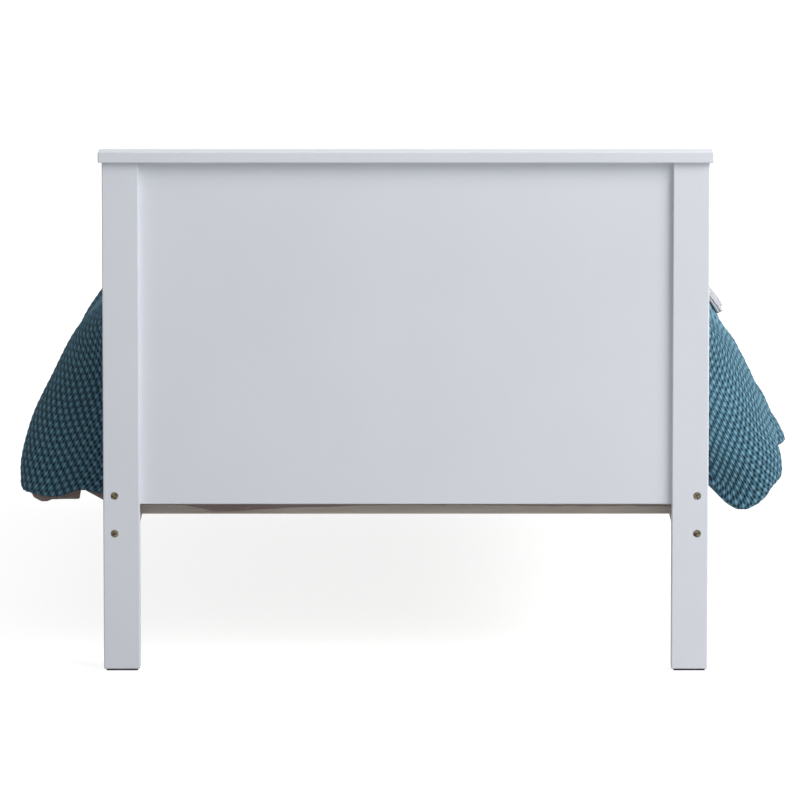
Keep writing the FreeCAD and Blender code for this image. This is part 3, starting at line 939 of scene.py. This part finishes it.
def make_mattress():
    """A sprung mattress: quilted top and bottom, a soft border, and piping round both edges."""
    count = mattress_points
    low, high = mattress_low.z, mattress_high.z
    turn = 2 * math.pi * (np.arange(count) + 0.5) / count
    c, s = np.cos(turn), np.sin(turn)
    ring_x = np.sign(c) * np.abs(c) ** (2 / mattress_power)
    ring_y = np.sign(s) * np.abs(s) ** (2 / mattress_power)
    border_inset, border_rise = mattress_edge[-1]
    panel = [(inset, 0.0) for inset in mattress_insets] + mattress_edge
    profile = [(inset, low + rise) for inset, rise in panel]
    for share in np.linspace(0.1, 0.9, 9):
        inset = border_inset - border_inset * math.sin(math.pi * share)
        profile.append((inset, low + border_rise + (high - low - 2 * border_rise) * share))
    profile += [(inset, high - rise) for inset, rise in reversed(panel)]
    rings = []
    for inset, z in profile:
        x = ring_x * (mattress_high.x - inset)
        y = ring_y * (mattress_high.y - inset)
        ring = np.stack([x, y, np.full(count, z)], axis=1)
        if inset > quilting_inset:
            waves = np.cos(2 * math.pi * x / quilting_pitch) * np.cos(2 * math.pi * y / quilting_pitch)
            dip = quilting_dip * (1 + waves)
            ring[:, 2] += dip if z < (low + high) / 2 else -dip
        rings.append(ring)
    index = np.arange(len(rings) * count).reshape(len(rings), count)
    faces = [index[0][::-1].tolist(), index[-1].tolist()]
    for k in range(len(rings) - 1):
        for n in range(count):
            m = (n + 1) % count
            faces.append([index[k, n], index[k, m], index[k + 1, m], index[k + 1, n]])
    mesh = bpy.data.meshes.new("mattress_pad")
    mesh.from_pydata(np.concatenate(rings).tolist(), [], [[int(v) for v in face] for face in faces])
    mesh.shade_smooth()
    material = woven(
        "mattress_cloth",
        lambda tree, scale: object_place(tree, (scale[0], scale[1], scale[1])),
        (0.80, 0.79, 0.76),
        (0.70, 0.69, 0.66),
        0.0016,
    )
    made = new_object("mattress_pad", mesh, "bedding", "mattress", material)


def make_pillow():
    """A filled pillow with pinched corners, a seam round it and creases that run in from the corners."""
    v = np.linspace(-1, 1, pillow_rows)[:, None]
    u = np.linspace(-1, 1, pillow_columns)[None, :]
    x = pillow_half_x * u * (1 - pillow_waist_x * (1 - v**2))
    y = pillow_half_y * v * (1 - pillow_waist_y * (1 - u**2))
    place_y = (pillow_low.y + pillow_high.y) / 2 + y
    swell = np.clip((1 - np.abs(u) ** 2.4) * (1 - np.abs(v) ** 2.2), 0, 1) ** 0.48
    near_corner = (np.abs(u) * np.abs(v)) ** 2
    fan = np.arctan2(1.02 - np.abs(v), 1.02 - np.abs(u))
    crease = pillow_crease * np.sin(pillow_crease_turns * fan) * near_corner
    first = plain_half_columns - pillow_under_columns
    last = plain_half_columns + pillow_under_columns
    lines = drape_lines(plain_half_columns)
    under = lines[:, first : last + 1]
    flat_x = under[..., 0].mean(0)
    bed = np.empty((pillow_rows, pillow_columns))
    for column in range(pillow_columns):
        heights = np.array([np.interp(x[0, column], flat_x, line) for line in under[..., 2]])
        bed[:, column] = np.interp(place_y[:, column], lines[:, 0, 1], heights)
    rest = bed + pillow_rest
    seam = rest + pillow_seam + pillow_corner_lift * near_corner
    top = seam + swell * (pillow_top_swell + pillow_top_lumps * ripple(x * 2, y * 2, 8.8)) + crease * swell
    below = np.maximum(seam - pillow_seam_below - swell * pillow_under_swell, rest)
    outer = np.stack([x, place_y, top + pillow_seam_above], axis=2)
    inner = np.stack([x, place_y, below], axis=2)
    mesh = cloth_slab("pillow_case", outer, inner)
    cotton = "white_pillow_cotton"
    size = (2 * pillow_half_x, 2 * pillow_half_y)
    material = woven(cotton, on_cloth(size), (0.82, 0.82, 0.81), (0.76, 0.76, 0.75), 0.0009)
    made = new_object("pillow_case", mesh, "pillow", "pillow", material)


def seen_directly(tree):
    """1 for rays from the camera, also by a glossy or clear surface, and 0 for light that falls on things."""
    path = add_node(tree, "LightPath")
    seen = calculate(tree, "MAXIMUM", path.outputs["Is Camera Ray"], path.outputs["Is Glossy Ray"])
    return calculate(tree, "MAXIMUM", seen, path.outputs["Is Transmission Ray"])


def make_floor():
    """A plain pale floor that shows white to the camera and keeps the shadow."""
    corners = [(a * floor_half, b * floor_half, 0) for a, b in ((-1, -1), (1, -1), (1, 1), (-1, 1))]
    mesh = bpy.data.meshes.new("floor")
    mesh.from_pydata(corners, [], [(0, 1, 2, 3)])
    floor = bpy.data.objects.new("floor", mesh)
    bpy.context.scene.collection.objects.link(floor)
    material = bpy.data.materials.new("pale_floor")
    material.use_nodes = True
    tree = material.node_tree
    tree.nodes.remove(tree.nodes["Principled BSDF"])
    lit = add_node(tree, "BsdfDiffuse", Color=(floor_tone, floor_tone, floor_tone, 1))
    place = add_node(tree, "TexCoord").outputs["Object"]
    far = add_node(tree, "VectorMath", {"operation": "LENGTH"}, Vector=place).outputs["Value"]
    share = add_node(tree, "MapRange", Value=far, From_Min=glow_near, From_Max=glow_far, To_Min=glow_least)
    strength = calculate(tree, "MULTIPLY", seen_directly(tree), share.outputs["Result"])
    glow = add_node(tree, "Emission", Strength=strength)
    total = add_node(tree, "AddShader")
    tree.links.new(lit.outputs[0], total.inputs[0])
    tree.links.new(glow.outputs[0], total.inputs[1])
    tree.links.new(total.outputs[0], tree.nodes["Material Output"].inputs["Surface"])
    mesh.materials.append(material)


def make_world():
    """Soft light from all round, more from above, on a background that is white to the camera."""
    world = bpy.data.worlds.new("studio")
    bpy.context.scene.world = world
    world.use_nodes = True
    tree = world.node_tree
    seen = seen_directly(tree)
    way = add_node(tree, "SeparateXYZ", Vector=add_node(tree, "TexCoord").outputs["Generated"])
    sky = calculate(tree, "MAXIMUM", way.outputs["Z"], 0.0)
    fill = weighted_sum(tree, horizon_fill, [(sky, overhead_fill - horizon_fill)])
    unseen = calculate(tree, "SUBTRACT", 1.0, seen)
    strength = weighted_sum(tree, seen, [(unseen, fill)])
    background = tree.nodes["Background"]
    background.inputs["Color"].default_value = (1, 1, 1, 1)
    tree.links.new(strength, background.inputs["Strength"])


def make_light(name, turn, climb, distance, size, energy):
    """A round soft light that looks at the head end. Its turn is from the camera's side towards +X."""
    turn = math.radians(turn)
    climb = math.radians(climb)
    target = Vector((0, head_face, lamp_target))
    back = Vector((math.sin(turn) * math.cos(climb), -math.cos(turn) * math.cos(climb), math.sin(climb)))
    light = bpy.data.lights.new(name, "AREA")
    light.shape = "DISK"
    light.size = size
    light.energy = energy
    lamp = bpy.data.objects.new(name, light)
    lamp.location = target + back * distance
    lamp.rotation_mode = "QUATERNION"
    lamp.rotation_quaternion = (-back).to_track_quat("-Z", "Y")
    bpy.context.scene.collection.objects.link(lamp)


def make_camera():
    """A camera with a long lens, straight behind the headboard and tipped down a little."""
    data = bpy.data.cameras.new("camera")
    data.lens = camera_lens
    data.sensor_width = camera_sensor
    data.clip_end = camera_far
    camera = bpy.data.objects.new("camera", data)
    camera.location = (camera_aside, head_face - camera_distance, camera_height)
    camera.rotation_euler = (math.radians(90 - camera_pitch), 0, 0)
    bpy.context.scene.collection.objects.link(camera)
    bpy.context.scene.camera = camera


bpy.context.scene.view_settings.view_transform = "Standard"
finish_frame()
make_coverlet()
blush = make_quilt()
make_end_flaps(blush)
make_flanges(blush)
make_throw()
make_mattress()
make_pillow()
make_floor()
make_world()
make_light("key", turn=46, climb=31, distance=5.6, size=4.2, energy=230)
make_light("side", turn=100, climb=27, distance=5.6, size=2.4, energy=136)
make_camera()
